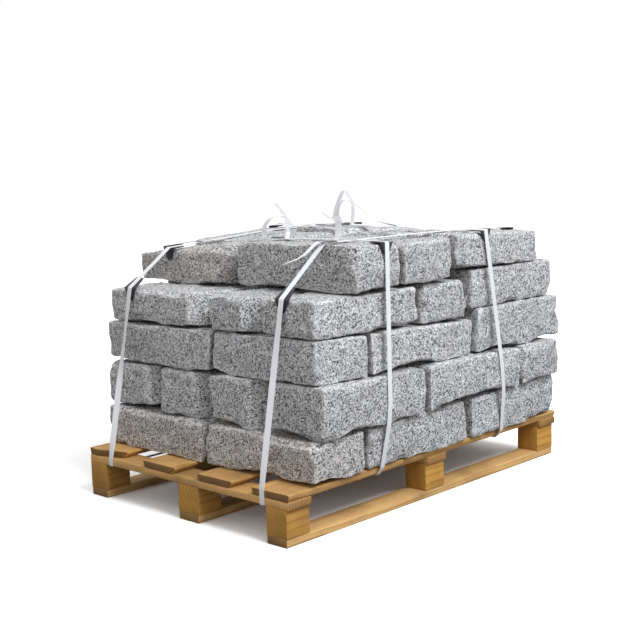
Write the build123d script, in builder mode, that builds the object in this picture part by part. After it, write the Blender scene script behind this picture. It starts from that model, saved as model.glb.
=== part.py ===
from build123d import *
import math
import os
import random

# Millimetres. +X runs along the pallet from its front end to its back end, +Y to its left side, +Z up.
# The origin is on the floor, under the middle of the pallet.

# Pallet timber
pallet_length = 1200
pallet_width = 800
skid_board_height = 22
block_height = 78
stringer_height = 20
deck_board_height = 20
side_skid_width = 74
middle_skid_width = 82
middle_skid_shift = -27
block_length = 84
skid_board_inset = 1.5
stringer_overhang = 10
deck_board_width = 134
deck_board_count = 4
inner_board_shift = -16
waney_edge = 16
slight_wane = 4
wane_height = 0.7
skewed_end = 30
skewed_cut_facing = (-1, -0.35, -0.2)

# Hewn stones, and how they are laid
stone_length = 432
stone_width = 205
stone_height = 118
joint = 12
stack_shift_back = 33
stack_shift_left = -8
bed_gap = 0.3
dressing = 3.6
face_lean = 3.5
lower_dressing_share = 0.5
corner_loss = 4.5
unevenness = (0.4, 1.5)
edge_tilt = (35, 60)
edge_twist = (-1.0, 3.2)
corner_turn = (32, 58)
corner_lean = 0.1
face_hollow = 2
face_yaw = 1.6
belly_height = 0.15
end_play = 6

# Strapping and its fittings
strap_width = 17
strap_thickness = 0.9
strap_gap = 0.3
strap_floor_clearance = 3
protector_width = 52
protector_thickness = 2.2
protector_leg = 44
protector_taper = 9
buckle_wire = 3.4
buckle_length = 34
buckle_clearance = 1.2
buckle_corner = 5.4
buckle_edge = 0.95
flat_corner = 0.02
left_strap_low = 303
left_strap_high = 298
front_strap_low = -254
front_strap_high = -230
back_strap_low = 290
back_strap_high = 205

stringer_low = skid_board_height + block_height
deck_low = stringer_low + stringer_height
deck_top = deck_low + deck_board_height
stack_front = stack_shift_back - (2 * stone_length + stone_width + 2 * joint) / 2
stack_right = stack_shift_left - (4 * stone_width + 3 * joint) / 2


def write(part, name):
    part.label = name
    export_step(part, f"parts/{name}.step")
    return part


def sloping(height, fall=0.0, lean=0.0):
    # A bed as a plane: its height at the stack's front right corner, its rise per mm towards the back,
    # and its rise per mm towards the left.
    return height, fall, lean


def bed_plane(bed, lift=0.0):
    height, fall, lean = bed
    return Plane(
        origin=(stack_front, stack_right, height + lift),
        x_dir=(1, 0, fall),
        z_dir=(-fall, -lean, 1),
    )


# Courses, from the deck up. Each bank of stones runs across the pallet, and the banks follow each other
# from front to back. A bank is: header for stones that lie along the pallet, or stretcher for stones
# that lie across it; its depth as a share of a stone's; the bank below that carries it; its top bed; and
# its stones from right to left. A stone is its kind, its size across the pallet as a share of a stone's,
# and the joint after it in joints. Two stretchers one behind the other are a pair.
first_top = deck_top + 0.983 * stone_height
second_top = first_top + 1.22 * stone_height
third_top = second_top + 1.01 * stone_height
fourth_top = third_top + 0.82 * stone_height
fifth_top = fourth_top + 1.04 * stone_height

deck_bed = sloping(deck_top)
first_bed = sloping(first_top, 0.009, -0.003)
second_bed = sloping(second_top, -0.02, -0.02)
third_bed = sloping(third_top, -0.043, -0.02)
third_back_bed = sloping(third_top + 7, -0.012, -0.02)
fourth_bed = sloping(fourth_top, -0.004, -0.02)
fourth_back_bed = sloping(fourth_top + 24, -0.012, -0.02)

four_headers = [("header", 1.0, 1), ("header", 0.99, 1.2), ("header", 1.02, 0.9), ("header", 0.99, 1)]
two_stretchers = [("stretcher", 0.985, 1.1), ("stretcher", 0.97, 1)]

first_course = {
    "shift": (-6, 8),
    "banks": [
        ("stretcher", 1.0, deck_bed, first_bed, [("stretcher", 0.956, 1), ("stretcher", 0.95, 1)]),
        ("header", 1.01, deck_bed, first_bed, four_headers),
        ("header", 1.015, deck_bed, first_bed, four_headers),
    ],
}
second_course = {
    "shift": (0, -13),
    "banks": [
        (
            "header",
            1.0,
            first_bed,
            second_bed,
            [("header", 1.005, 2.2), ("header", 0.96, 1.7), ("header", 0.94, 1.2), ("header", 1.04, 1)],
        ),
        ("header", 1.0, first_bed, second_bed, four_headers),
        ("stretcher", 1.0, first_bed, second_bed, two_stretchers),
    ],
}
third_course = {
    "shift": (17, 8),
    "banks": [
        ("stretcher", 1.0, second_bed, third_bed, [("stretcher", 0.921, 0.7), ("stretcher", 1.035, 1)]),
        ("header", 1.03, second_bed, third_bed, four_headers),
        ("header", 1.01, second_bed, third_back_bed, four_headers),
    ],
}
fourth_course = {
    "shift": (-6, 10),
    "banks": [
        (
            "header",
            0.985,
            third_bed,
            fourth_bed,
            [("header", 0.976, 0.75), ("header", 0.956, 2.2), ("pair", 0.907, 1)],
        ),
        ("stretcher", 1.0, third_bed, fourth_bed, two_stretchers),
        ("header", 0.96, third_back_bed, fourth_back_bed, four_headers),
    ],
}
fifth_course = {
    "shift": (31, 4),
    "banks": [
        ("stretcher", 0.93, fourth_bed, None, [("stretcher", 1.035, 1), ("stretcher", 0.95, 1)]),
        ("stretcher", 1.04, fourth_bed, None, two_stretchers),
        ("header", 0.94, fourth_back_bed, None, four_headers),
    ],
}
courses = [first_course, second_course, third_course, fourth_course, fifth_course]

# Stones that have lost a corner or an edge, by course and number in laying order: the way each break
# faces, and how deep it goes in from the squared corner.
breaks = {
    (2, 2): [((-1, -1, 0), 22)],
    (4, 2): [((-1, -1, 0.25), 40)],
    (5, 0): [((0, 1, 0.2), 9), ((0.6, -0.2, 1), 12), ((-1, -1, -1), 12)],
    (5, 1): [((-1, -1, 0.1), 30), ((0, 1, -0.26), 7)],
}

# Where along each strap its buckle lies, and the strap's loose ends. An end is a curve of points that are
# each a place along the strap and a height over the place that the end springs from.
buckle_places = {
    "lengthwise_left": 300,
    "lengthwise_right": -320,
    "crosswise_front": -29,
    "crosswise_back": 98,
}
loose_ends = {
    "lengthwise_right": [
        [(-299, 0), (-288, 22), (-284, 48), (-296, 66)],
        [(-341, 0), (-374, 4), (-433, -26), (-510, -42)],
    ],
    "crosswise_front": [
        [(21, 0), (20, 28), (-6, 55), (-46, 64), (-77, 60), (-100, 41)],
        [(-67, 0), (-60, 31), (-42, 64), (-3, 97)],
    ],
    "crosswise_back": [
        [(77, 0), (67, 55), (84, 93), (104, 105), (144, 51), (157, 22), (178, 14), (212, 31)],
        [(119, 0), (130, 32), (112, 67), (76, 81), (23, 57), (-37, 21), (-118, 7)],
    ],
}

# The tops of the fifth course's stones, in the order they are laid: each one's height over the course
# at its front right corner, its rise per mm towards the back, and its rise per mm towards the left.
loose_tops = [
    (9, -0.05, -0.025),
    (-8, 0.02, -0.115),
    (-3, -0.02, -0.01),
    (-15, 0.05, -0.035),
    (2, -0.05, -0.01),
    (-2, -0.07, -0.01),
    (6, -0.085, -0.01),
    (-15, -0.015, -0.01),
]


def break_plane(low, high, facing, depth):
    # A broken corner's face. It faces outwards, and what lies outside it is gone.
    out = Vector(*facing).normalized()
    corner = Vector(*[top if way > 0 else bottom for way, bottom, top in zip(facing, low, high)])
    return Plane(origin=corner - out * depth, z_dir=out)


def dressing_planes(low, high, floor, roof, dice):
    # The chisel cuts that turn a sawn block into a hewn one. Each plane faces outwards, and what lies
    # outside it is struck off.
    middle = (low + high) / 2
    half = (high - low) / 2
    planes = []
    for turn in range(4):
        angle = math.radians(90 * turn)
        out = Vector(math.cos(angle), math.sin(angle), 0)
        side = Vector(-math.sin(angle), math.cos(angle), 0)
        reach = abs(out.X) * half.X + abs(out.Y) * half.Y
        span = abs(side.X) * half.X + abs(side.Y) * half.Y
        belly = middle + out * (reach - dice.uniform(0, face_hollow))
        for up in (1, -1):
            lean = math.radians(face_lean * dice.uniform(*unevenness))
            yaw = math.radians(dice.uniform(-face_yaw, face_yaw))
            normal = out * math.cos(lean) + Vector(0, 0, up * math.sin(lean)) + side * math.sin(yaw)
            planes.append(Plane(origin=belly + Vector(0, 0, up * half.Z * belly_height), z_dir=normal))
            bed = roof if up > 0 else floor
            share = 1 if up > 0 else lower_dressing_share
            for part in (-1, 1):
                spot = middle + out * reach + side * (part * span / 2)
                edge_height = height_on(bed, spot.X, spot.Y)
                depth = share * dressing * dice.uniform(*unevenness)
                tilt = math.radians(dice.uniform(*edge_tilt))
                twist = part * math.radians(dice.uniform(*edge_twist))
                normal = out * math.cos(tilt) + Vector(0, 0, up * math.sin(tilt)) + side * math.sin(twist)
                edge = Vector(spot.X, spot.Y, edge_height) - out * depth
                planes.append(Plane(origin=edge, z_dir=normal))
        corner = middle + out * reach + side * span
        loss = corner_loss * dice.uniform(*unevenness)
        turn_out = math.radians(dice.uniform(*corner_turn))
        nod = Vector(0, 0, dice.uniform(-corner_lean, corner_lean))
        normal = out * math.cos(turn_out) + side * math.sin(turn_out) + nod
        planes.append(Plane(origin=corner - out * loss, z_dir=normal))
    return planes


def height_on(plane, x, y):
    # The height of a sloping plane over a point of the floor.
    away = Vector(x, y, 0) - Vector(plane.origin.X, plane.origin.Y, 0)
    return plane.origin.Z - (away.X * plane.z_dir.X + away.Y * plane.z_dir.Y) / plane.z_dir.Z


def hewn_stone(front, back, right, left, floor, roof, seed, broken):
    # One stone, struck to shape between its bed below and its bed above.
    dice = random.Random(seed)
    middle_x = (front + back) / 2
    middle_y = (right + left) / 2
    low_z = height_on(floor, middle_x, middle_y)
    high_z = height_on(roof, middle_x, middle_y)
    low = Vector(front, right, low_z)
    high = Vector(back, left, high_z)
    spare = stone_height / 2
    with BuildPart() as stone:
        with BuildSketch(Plane.XY.offset(low_z - spare)):
            with Locations((middle_x, middle_y)):
                Rectangle(back - front, left - right)
        extrude(amount=high_z - low_z + 2 * spare)
        split(bisect_by=roof, keep=Keep.BOTTOM)
        split(bisect_by=floor, keep=Keep.TOP)
        for plane in dressing_planes(low, high, floor, roof, dice):
            split(bisect_by=plane, keep=Keep.BOTTOM)
        for facing, depth in broken:
            split(bisect_by=break_plane(low, high, facing, depth), keep=Keep.BOTTOM)
    return stone.part.solid()


def lay_course(number, course):
    # All the stones of one course, which stand apart from each other by their joints.
    stones = []
    depth_of = {"header": stone_length, "stretcher": stone_width}
    shift_back, shift_left = course["shift"]
    banks = course["banks"]
    total = sum(share * depth_of[kind] for kind, share, *rest in banks) + joint * (len(banks) - 1)
    front = stack_shift_back + shift_back - total / 2
    for kind, share, floor_bed, roof_bed, slots in banks:
        depth = share * depth_of[kind]
        widths = [size * (stone_width if form == "header" else stone_length) for form, size, gap in slots]
        right = stack_right + shift_left
        for (form, size, gap), width in zip(slots, widths):
            runs = [(front, front + depth)]
            if form == "pair":
                split_at = (depth - joint) / 2
                runs = [(front, front + split_at), (front + split_at + joint, front + depth)]
            for low_x, high_x in runs:
                seed = f"course {number} stone {len(stones)}"
                dice = random.Random(seed + " place")
                play_front = 0 if kind == "stretcher" else end_play * dice.uniform(0, 1)
                play_back = end_play * dice.uniform(0, 1)
                if roof_bed:
                    roof = bed_plane(roof_bed)
                else:
                    lift, fall, lean = loose_tops[len(stones)]
                    roof = Plane(origin=(low_x, right, fifth_top + lift), z_dir=(-fall, -lean, 1))
                stones.append(
                    hewn_stone(
                        low_x + play_front,
                        high_x - play_back,
                        right,
                        right + width,
                        bed_plane(floor_bed, bed_gap),
                        roof,
                        seed,
                        breaks.get((number, len(stones)), []),
                    )
                )
            right += width + gap * joint
        front += depth + joint
    with BuildPart() as laid:
        add(stones)
    write(laid.part, f"course_{number}")
    return stones


def timber_end(right, left, low, high, wane):
    # The end of a board or block, anticlockwise. Wane is the bark edge missing from its underside, on its
    # right and on its left.
    wane_right, wane_left = wane
    shoulder = low + wane_height * (high - low)
    corners = [(right + wane_right, low), (left - wane_left, low), (left, high), (right, high)]
    if wane_left:
        corners.insert(2, (left, shoulder))
    if wane_right:
        corners.append((right, shoulder))
    return corners


def timber(name, x_range, y_range, z_range, wane=(0, 0), skewed=False):
    # A board or block along X. A skewed board has a corner sawn off at its front end.
    front, back = x_range
    right, left = y_range
    low, high = z_range
    with BuildPart() as piece:
        with BuildSketch(Plane.YZ.offset(front)):
            with BuildLine():
                Polyline(*timber_end(right, left, low, high, wane), close=True)
            make_face()
        extrude(amount=back - front)
        if skewed:
            saw_cut = Plane(origin=(front + skewed_end, right, high), z_dir=skewed_cut_facing)
            split(bisect_by=saw_cut, keep=Keep.BOTTOM)
    write(piece.part, name)
    return piece.part


def build_pallet():
    # Three skids of a board and three blocks each, three stringers across them, and the deck boards.
    half_length = pallet_length / 2
    half_width = pallet_width / 2
    skid_centres = {
        "right": (-half_width + side_skid_width / 2, side_skid_width),
        "middle": (middle_skid_shift, middle_skid_width),
        "left": (half_width - side_skid_width / 2, side_skid_width),
    }
    station_centres = {
        "front": -half_length + block_length / 2,
        "middle": 0,
        "back": half_length - block_length / 2,
    }
    for side, (centre, width) in skid_centres.items():
        board = (centre - width / 2 + skid_board_inset, centre + width / 2 - skid_board_inset)
        timber(f"skid_board_{side}", (-half_length, half_length), board, (0, skid_board_height))
        for station, x in station_centres.items():
            timber(
                f"block_{station}_{side}",
                (x - block_length / 2, x + block_length / 2),
                (centre - width / 2, centre + width / 2),
                (skid_board_height, stringer_low),
            )
    stringers = [
        timber(
            f"stringer_{station}",
            (x - block_length / 2, x + block_length / 2),
            (-half_width - stringer_overhang, half_width),
            (stringer_low, deck_low),
        )
        for station, x in station_centres.items()
    ]
    boards = []
    first = -half_width - stringer_overhang + deck_board_width / 2
    step = (pallet_width + stringer_overhang - deck_board_width) / (deck_board_count - 1)
    for index in range(deck_board_count):
        inner = 0 < index < deck_board_count - 1
        centre = first + index * step + (inner_board_shift if inner else 0)
        edges = (centre - deck_board_width / 2, centre + deck_board_width / 2)
        wane = (waney_edge if index else slight_wane, slight_wane)
        boards.append(
            timber(
                f"deck_board_{index + 1}",
                (-half_length, half_length),
                edges,
                (deck_low, deck_top),
                wane,
                skewed=index == deck_board_count - 1,
            )
        )
    return stringers, boards


def points_in_slab(plane, half_width, shapes, lowest=-1.0):
    # The ends of the straight edges of some shapes, cut to the slab that a strap runs in, as points of
    # the strap's plane.
    points = []
    for edge in [edge for shape in shapes for edge in shape.edges()]:
        start = plane.to_local_coords(edge @ 0)
        end = plane.to_local_coords(edge @ 1)
        span = end.Z - start.Z
        shares = [0, 1]
        if abs(span) > 1e-6:
            shares += [(-half_width - start.Z) / span, (half_width - start.Z) / span]
        for share in shares:
            point = start + (end - start) * share
            if 0 <= share <= 1 and abs(point.Z) <= half_width + 1e-3:
                world = plane.from_local_coords(Vector(point.X, point.Y, 0))
                if world.Z >= lowest:
                    points.append((point.X, point.Y))
    return points


def hull(points):
    # The taut outline round some points, anticlockwise, with no point in line with its neighbours.
    def half(ordered):
        chain = []
        for point in ordered:
            while len(chain) > 1 and turn(chain[-2], chain[-1], point) <= flat_corner:
                chain.pop()
            chain.append(point)
        return chain[:-1]

    ordered = sorted(set(points))
    return half(ordered) + half(ordered[::-1])


def turn(a, b, c):
    # How far b lies to the right of the line from a to c, in mm. It is above zero on a left turn.
    length = math.dist(a, c) or 1.0
    return ((b[0] - a[0]) * (c[1] - a[1]) - (b[1] - a[1]) * (c[0] - a[0])) / length


def grown(outline, amount):
    # An anticlockwise convex outline, moved out by an amount, with its corners kept sharp.
    moved = []
    count = len(outline)
    for index, point in enumerate(outline):
        before = Vector(*outline[index - 1])
        here = Vector(*point)
        after = Vector(*outline[(index + 1) % count])
        first = (here - before).normalized()
        second = (after - here).normalized()
        bisector = Vector(first.Y + second.Y, -first.X - second.X).normalized()
        stretch = bisector.X * first.Y - bisector.Y * first.X
        moved.append(tuple(here + bisector * (amount / stretch))[:2])
    return moved


def load_under_plate(plane, corner, shapes):
    # What of the load lies near enough to a corner to touch a plate folded over it, as points of the
    # strap's plane.
    with BuildPart() as reach:
        with BuildSketch(plane):
            with Locations(corner):
                Rectangle(2 * protector_leg, 2 * protector_leg)
        extrude(amount=protector_width / 2, both=True)
    near = [shape & reach.part.solid() for shape in shapes if shape.distance_to(reach.part) < bed_gap]
    vertices = [vertex for shape in near if shape for vertex in shape.vertices()]
    return [plane.to_local_coords(vertex.center()) for vertex in vertices]


def protector_profile(plane, shapes, course, direction):
    # The square-bent plate on the corner of a course that lies furthest in a direction: one leg goes down
    # its side and the other lies on its top. Returned as the plate's inner line and its outer line.
    crossed = points_in_slab(plane, protector_width / 2, course)
    corner = max(crossed, key=lambda point: point[0] * direction[0] + point[1] * direction[1])
    side = 1 if direction[0] > 0 else -1
    points = load_under_plate(plane, corner, shapes)
    reach = max(side * point.X for point in points)
    height = max(point.Y for point in points)

    def line(amount):
        fold = (side * (reach + amount), height + amount)
        leg_down = (fold[0], height - protector_leg)
        leg_in = (side * (reach - protector_leg), fold[1])
        return [leg_down, fold, leg_in] if side > 0 else [leg_in, fold, leg_down]

    return line(strap_gap), line(strap_gap + protector_thickness)


def protector(plane, inner, outer):
    # A bent plate whose two legs taper towards their ends.
    with BuildPart() as plate:
        with BuildSketch(plane):
            with BuildLine():
                Polyline(*inner, *outer[::-1], close=True)
            make_face()
        extrude(amount=protector_width / 2, both=True)
        fold = Vector(*outer[1])
        for tip in (outer[0], outer[2]):
            leg = (Vector(*tip) - fold).normalized()
            for side in (1, -1):
                hinge = fold + Vector(0, 0, side * protector_width / 2)
                normal = Vector(0, 0, side) * protector_leg + leg * protector_taper
                cut = Plane(
                    origin=plane.from_local_coords(hinge),
                    z_dir=plane.from_local_coords(normal) - plane.origin,
                )
                split(bisect_by=cut, keep=Keep.BOTTOM)
    return plate.part.solid()


def strap_round(name, plane, shapes, corners, crossed=()):
    # One strap pulled tight round the load, with its loose ends, and the protectors under it. A corner
    # is the course that has it, and the way it faces.
    half = protector_width / 2
    points = points_in_slab(plane, half, shapes)
    points += points_in_slab(plane, half, crossed, lowest=deck_top)
    plates = []
    for course, direction in corners:
        inner, outer = protector_profile(plane, shapes, course, direction)
        plates.append(protector(plane, inner, outer))
        points += outer
    route = hull(points)
    outline = grown(route, strap_gap + strap_thickness)
    with BuildPart() as strap:
        with BuildSketch(plane):
            with BuildLine():
                Polyline(*outline, close=True)
            make_face()
            with BuildLine():
                Polyline(*grown(route, strap_gap), close=True)
            make_face(mode=Mode.SUBTRACT)
            for end in loose_ends.get(name, []):
                root, along = seat_on(outline, end[0][0])
                with BuildLine():
                    Spline(*[(place, root.Y - strap_thickness / 2 + height) for place, height in end])
                trace(line_width=strap_thickness)
        extrude(amount=strap_width / 2, both=True)
    write(strap.part, f"strap_{name}")
    with BuildPart() as fittings:
        add(plates)
    write(fittings.part, f"edge_protectors_{name}")
    return strap.part, outline


def leaning_plane(low_point, high_point, along):
    # The plane that a strap runs in: through two points, and along one way of the pallet.
    low = Vector(*low_point)
    up = Vector(*high_point) - low
    along = Vector(*along)
    return Plane(origin=low, x_dir=along, z_dir=along.cross(up))


def seat_on(outline, place):
    # The point of a strap's outline that lies on top of the load at a place along it, and the outline's
    # direction there.
    ceiling = max(point[1] for point in outline)
    for index, start in enumerate(outline):
        finish = outline[(index + 1) % len(outline)]
        if finish[0] <= place <= start[0] and min(start[1], finish[1]) > ceiling / 2:
            share = (place - start[0]) / (finish[0] - start[0])
            run = Vector(*finish) - Vector(*start)
            return Vector(*start) + run * share, run.normalized()
    raise ValueError("no run of the strap lies there")


def buckle(plane, outline, place):
    # A wire buckle that lies on a strap: a rounded ring with one bar across it.
    seat, along = seat_on(outline, place)
    lift = buckle_wire / 2 + strap_gap
    centre = plane.from_local_coords(seat + Vector(along.Y, -along.X) * lift)
    length_way = plane.from_local_coords(along) - plane.origin
    ring_plane = Plane(origin=centre, x_dir=length_way, z_dir=length_way.cross(plane.z_dir))
    opening = strap_width + 2 * buckle_clearance
    window = (buckle_length - 3 * buckle_wire) / 2
    shift = (window + buckle_wire) / 2
    with BuildPart() as ring:
        with BuildSketch(ring_plane):
            RectangleRounded(buckle_length, opening + 2 * buckle_wire, buckle_corner)
            with Locations((-shift, 0), (shift, 0)):
                Rectangle(window, opening, mode=Mode.SUBTRACT)
        extrude(amount=buckle_wire / 2, both=True)
        rims = ring.edges().filter_by(ring_plane)
        chamfer(rims, buckle_edge)
    return ring.part.solid()


def build_load():
    stringers, boards = build_pallet()
    laid = [lay_course(number, course) for number, course in enumerate(courses, start=1)]
    return stringers, boards, laid


def build_strapping(stringers, boards, laid):
    # Two straps run lengthwise over the ends of the stringers, and two run crosswise over the deck's sides.
    side_line = pallet_width / 2 - side_skid_width - strap_width / 2 - strap_floor_clearance
    stones = [stone for course in laid for stone in course]
    top_course, shoulder_course = laid[-1], laid[-2]
    top_of_front, top_of_back = (top_course, (-0.3, 0.95)), (top_course, (0.35, 0.93))
    shoulder_of_front, shoulder_of_back = (shoulder_course, (-0.85, 0.5)), (shoulder_course, (0.85, 0.5))
    lengthwise = {
        "lengthwise_left": (
            (left_strap_low, left_strap_high),
            [top_of_front, shoulder_of_front, top_of_back, shoulder_of_back],
        ),
        "lengthwise_right": (
            (-side_line, -side_line),
            [shoulder_of_front, top_of_back, shoulder_of_back],
        ),
    }
    crosswise = {
        "crosswise_front": (front_strap_low, front_strap_high),
        "crosswise_back": (back_strap_low, back_strap_high),
    }
    first_pair = []
    outlines = {}
    for name, ((low, high), corners) in lengthwise.items():
        plane = leaning_plane((0, low, stringer_low), (0, high, fifth_top), (1, 0, 0))
        strap, outline = strap_round(name, plane, [*stringers, *boards, *stones], corners)
        first_pair.append(strap)
        outlines[name] = (plane, outline)
    for name, (low, high) in crosswise.items():
        plane = leaning_plane((low, 0, deck_low), (high, 0, fifth_top), (0, 1, 0))
        corners = [(top_course, (-1, 1)), (top_course, (1, 1))]
        strap, outline = strap_round(name, plane, [*boards, *stones], corners, crossed=first_pair)
        outlines[name] = (plane, outline)
    return outlines


def main():
    os.makedirs("parts", exist_ok=True)
    stringers, boards, laid = build_load()
    outlines = build_strapping(stringers, boards, laid)
    rings = [buckle(*outlines[name], place) for name, place in buckle_places.items()]
    with BuildPart() as buckles:
        add(rings)
    write(buckles.part, "strap_buckles")


main()
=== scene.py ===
import math
import random
import bpy
from mathutils import Matrix, Vector, noise


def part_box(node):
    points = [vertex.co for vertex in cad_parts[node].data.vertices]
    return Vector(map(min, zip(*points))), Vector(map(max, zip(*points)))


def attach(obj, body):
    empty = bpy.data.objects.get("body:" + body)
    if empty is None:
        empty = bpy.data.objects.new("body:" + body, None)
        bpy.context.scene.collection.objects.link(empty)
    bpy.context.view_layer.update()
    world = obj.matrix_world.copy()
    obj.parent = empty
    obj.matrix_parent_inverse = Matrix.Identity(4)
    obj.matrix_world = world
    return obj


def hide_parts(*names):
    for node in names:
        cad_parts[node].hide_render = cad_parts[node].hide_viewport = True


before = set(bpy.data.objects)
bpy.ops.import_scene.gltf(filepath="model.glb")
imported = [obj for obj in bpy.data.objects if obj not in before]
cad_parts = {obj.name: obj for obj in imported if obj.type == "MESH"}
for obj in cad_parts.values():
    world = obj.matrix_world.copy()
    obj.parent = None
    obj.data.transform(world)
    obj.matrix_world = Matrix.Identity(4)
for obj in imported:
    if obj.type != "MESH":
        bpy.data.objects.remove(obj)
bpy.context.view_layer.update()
print("frame loaded:", len(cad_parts), "nodes")

root = "root"
mm = 0.001
xWay = Vector((1, 0, 0))
yWay = Vector((0, 1, 0))
zWay = Vector((0, 0, 1))


# Small helpers

# how near two points count as one, and how flat a corner may be left out, when a node is copied
meshCleaning = {
    "merge": 0.01 * mm,
    "faceAngle": 0.01,
    "shapeAngle": 3.1,
    "flatAngle": 0.002,
}


def selectOnly(obj):
    bpy.ops.object.select_all(action="DESELECT")
    obj.select_set(True)
    bpy.context.view_layer.objects.active = obj


def editAll(obj):
    selectOnly(obj)
    bpy.ops.object.mode_set(mode="EDIT")
    bpy.ops.mesh.select_all(action="SELECT")


def leaveEdit():
    bpy.ops.object.mode_set(mode="OBJECT")


def applyModifier(obj, modifier):
    selectOnly(obj)
    bpy.ops.object.modifier_apply(modifier=modifier.name)


def smoothShade(obj, degrees):
    selectOnly(obj)
    bpy.ops.object.shade_smooth_by_angle(angle=math.radians(degrees))


def copyNode(node, name):
    # a copy of a CAD node's mesh, with its loose triangles joined up
    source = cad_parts[node]
    obj = bpy.data.objects.new(name, source.data.copy())
    obj.data.name = name
    obj.data.materials.clear()
    bpy.context.scene.collection.objects.link(obj)
    editAll(obj)
    bpy.ops.mesh.remove_doubles(threshold=meshCleaning["merge"])
    bpy.ops.mesh.tris_convert_to_quads(
        face_threshold=meshCleaning["faceAngle"],
        shape_threshold=meshCleaning["shapeAngle"],
    )
    bpy.ops.mesh.dissolve_limited(angle_limit=meshCleaning["flatAngle"])
    leaveEdit()
    return obj


def splitLoose(obj, baseName):
    # one object for each separate lump of a mesh, named in order from the front to the back
    selectOnly(obj)
    bpy.ops.mesh.separate(type="LOOSE")
    lumps = list(bpy.context.selected_objects)
    lumps.sort(key=lambda lump: tuple(round(c, 2) for c in middleOf(lump).xy))
    for index, lump in enumerate(lumps, start=1):
        lump.name = f"{baseName}_{index:02d}"
        lump.data.name = lump.name
    return lumps


def boxOf(obj):
    corners = [vertex.co for vertex in obj.data.vertices]
    low = Vector([min(co[axis] for co in corners) for axis in range(3)])
    high = Vector([max(co[axis] for co in corners) for axis in range(3)])
    return low, high


def middleOf(obj):
    low, high = boxOf(obj)
    return (low + high) / 2


def standFor(obj, node, material):
    obj.data.materials.clear()
    obj.data.materials.append(material)
    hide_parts(node)
    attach(obj, root)


# Helpers for materials

# the sockets of a mix node: its two inputs and its result
mixSockets = {"VECTOR": (4, 5, 1), "RGBA": (6, 7, 2)}


def addNode(tree, kind, **settings):
    node = tree.nodes.new(kind)
    for key, value in settings.items():
        if key in node.inputs:
            node.inputs[key].default_value = value
        else:
            setattr(node, key, value)
    return node


def join(tree, output, target):
    tree.links.new(output, target)


def addTexture(tree, kind, place, **settings):
    node = addNode(tree, kind, **settings)
    join(tree, place, node.inputs["Vector"])
    return node


def mathNode(tree, operation, first, second=None, third=None, clamp=False):
    node = tree.nodes.new("ShaderNodeMath")
    node.operation = operation
    node.use_clamp = clamp
    for socket, value in zip(node.inputs, (first, second, third)):
        if value is None:
            continue
        if isinstance(value, (int, float)):
            socket.default_value = value
        else:
            join(tree, value, socket)
    return node.outputs[0]


def mixNode(tree, kind, factor, first, second, blend="MIX"):
    # a mix of two vectors or of two colours
    node = tree.nodes.new("ShaderNodeMix")
    node.data_type = kind
    node.blend_type = blend
    firstPlace, secondPlace, result = mixSockets[kind]
    for place, value in ((0, factor), (firstPlace, first), (secondPlace, second)):
        socket = node.inputs[place]
        if isinstance(value, (int, float)):
            socket.default_value = value
        elif isinstance(value, tuple):
            socket.default_value = (*value, 1)
        else:
            join(tree, value, socket)
    return node.outputs[result]


def mixColor(tree, factor, first, second, blend="MIX"):
    return mixNode(tree, "RGBA", factor, first, second, blend)


def mixShaders(tree, factor, first, second, target):
    mix = addNode(tree, "ShaderNodeMixShader")
    join(tree, factor, mix.inputs[0])
    join(tree, first.outputs[0], mix.inputs[1])
    join(tree, second.outputs[0], mix.inputs[2])
    join(tree, mix.outputs[0], tree.nodes[target].inputs["Surface"])


def rampNode(tree, factor, stops):
    node = tree.nodes.new("ShaderNodeValToRGB")
    elements = node.color_ramp.elements
    while len(elements) < len(stops):
        elements.new(0.5)
    for element, (place, color) in zip(elements, stops):
        element.position = place
        element.color = (*color, 1) if isinstance(color, tuple) else (color, color, color, 1)
    join(tree, factor, node.inputs[0])
    return node.outputs[0]


def newGroup(name, inputs, outputs):
    group = bpy.data.node_groups.new(name, "ShaderNodeTree")
    for socketName, kind, value in inputs:
        socket = group.interface.new_socket(socketName, in_out="INPUT", socket_type=kind)
        if value is not None:
            socket.default_value = value
    for socketName, kind in outputs:
        group.interface.new_socket(socketName, in_out="OUTPUT", socket_type=kind)
    return group, group.nodes.new("NodeGroupInput"), group.nodes.new("NodeGroupOutput")


def newMaterial(name, roughness, specular):
    material = bpy.data.materials.new(name)
    material.use_nodes = True
    tree = material.node_tree
    shader = tree.nodes["Principled BSDF"]
    shader.inputs["Roughness"].default_value = roughness
    shader.inputs["Specular IOR Level"].default_value = specular
    return material, tree, shader


def objectPlace(tree):
    return addNode(tree, "ShaderNodeTexCoord").outputs["Object"]


def placeGroup(tree, group, place, **values):
    node = tree.nodes.new("ShaderNodeGroup")
    node.node_tree = group
    join(tree, place, node.inputs["Vector"])
    for key, value in values.items():
        node.inputs[key].default_value = value
    return node


def addBump(tree, shader, height, strength, distance):
    bump = addNode(tree, "ShaderNodeBump", Strength=strength, Distance=distance)
    join(tree, height, bump.inputs["Height"])
    join(tree, bump.outputs[0], shader.inputs["Normal"])


def addDirt(tree, place, color, dirt):
    # soft uneven dirt over a colour
    limits = {key: dirt[key] for key in ("Size", "Low", "High")}
    mask = placeGroup(tree, grimeGroup, place, **limits).outputs["Mask"]
    share = mathNode(tree, "MULTIPLY", mask, dirt["share"])
    return mixColor(tree, share, color, dirt["color"])


# Effects that several materials share

crystalLook = {
    "wobbleScale": 300.0,
    "wobbleShare": 0.0016,
    "tones": [
        (0.0, (0.035, 0.035, 0.038)),
        (0.13, (0.075, 0.075, 0.079)),
        (0.25, (0.33, 0.33, 0.335)),
        (0.50, (0.55, 0.55, 0.555)),
        (0.80, (0.69, 0.685, 0.68)),
        (1.0, (0.84, 0.835, 0.82)),
    ],
    "fleckFineness": 1.9,
    "fleckShare": 0.30,
    "fleckCover": 0.85,
    "fleckColor": (0.045, 0.045, 0.05),
}

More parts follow.
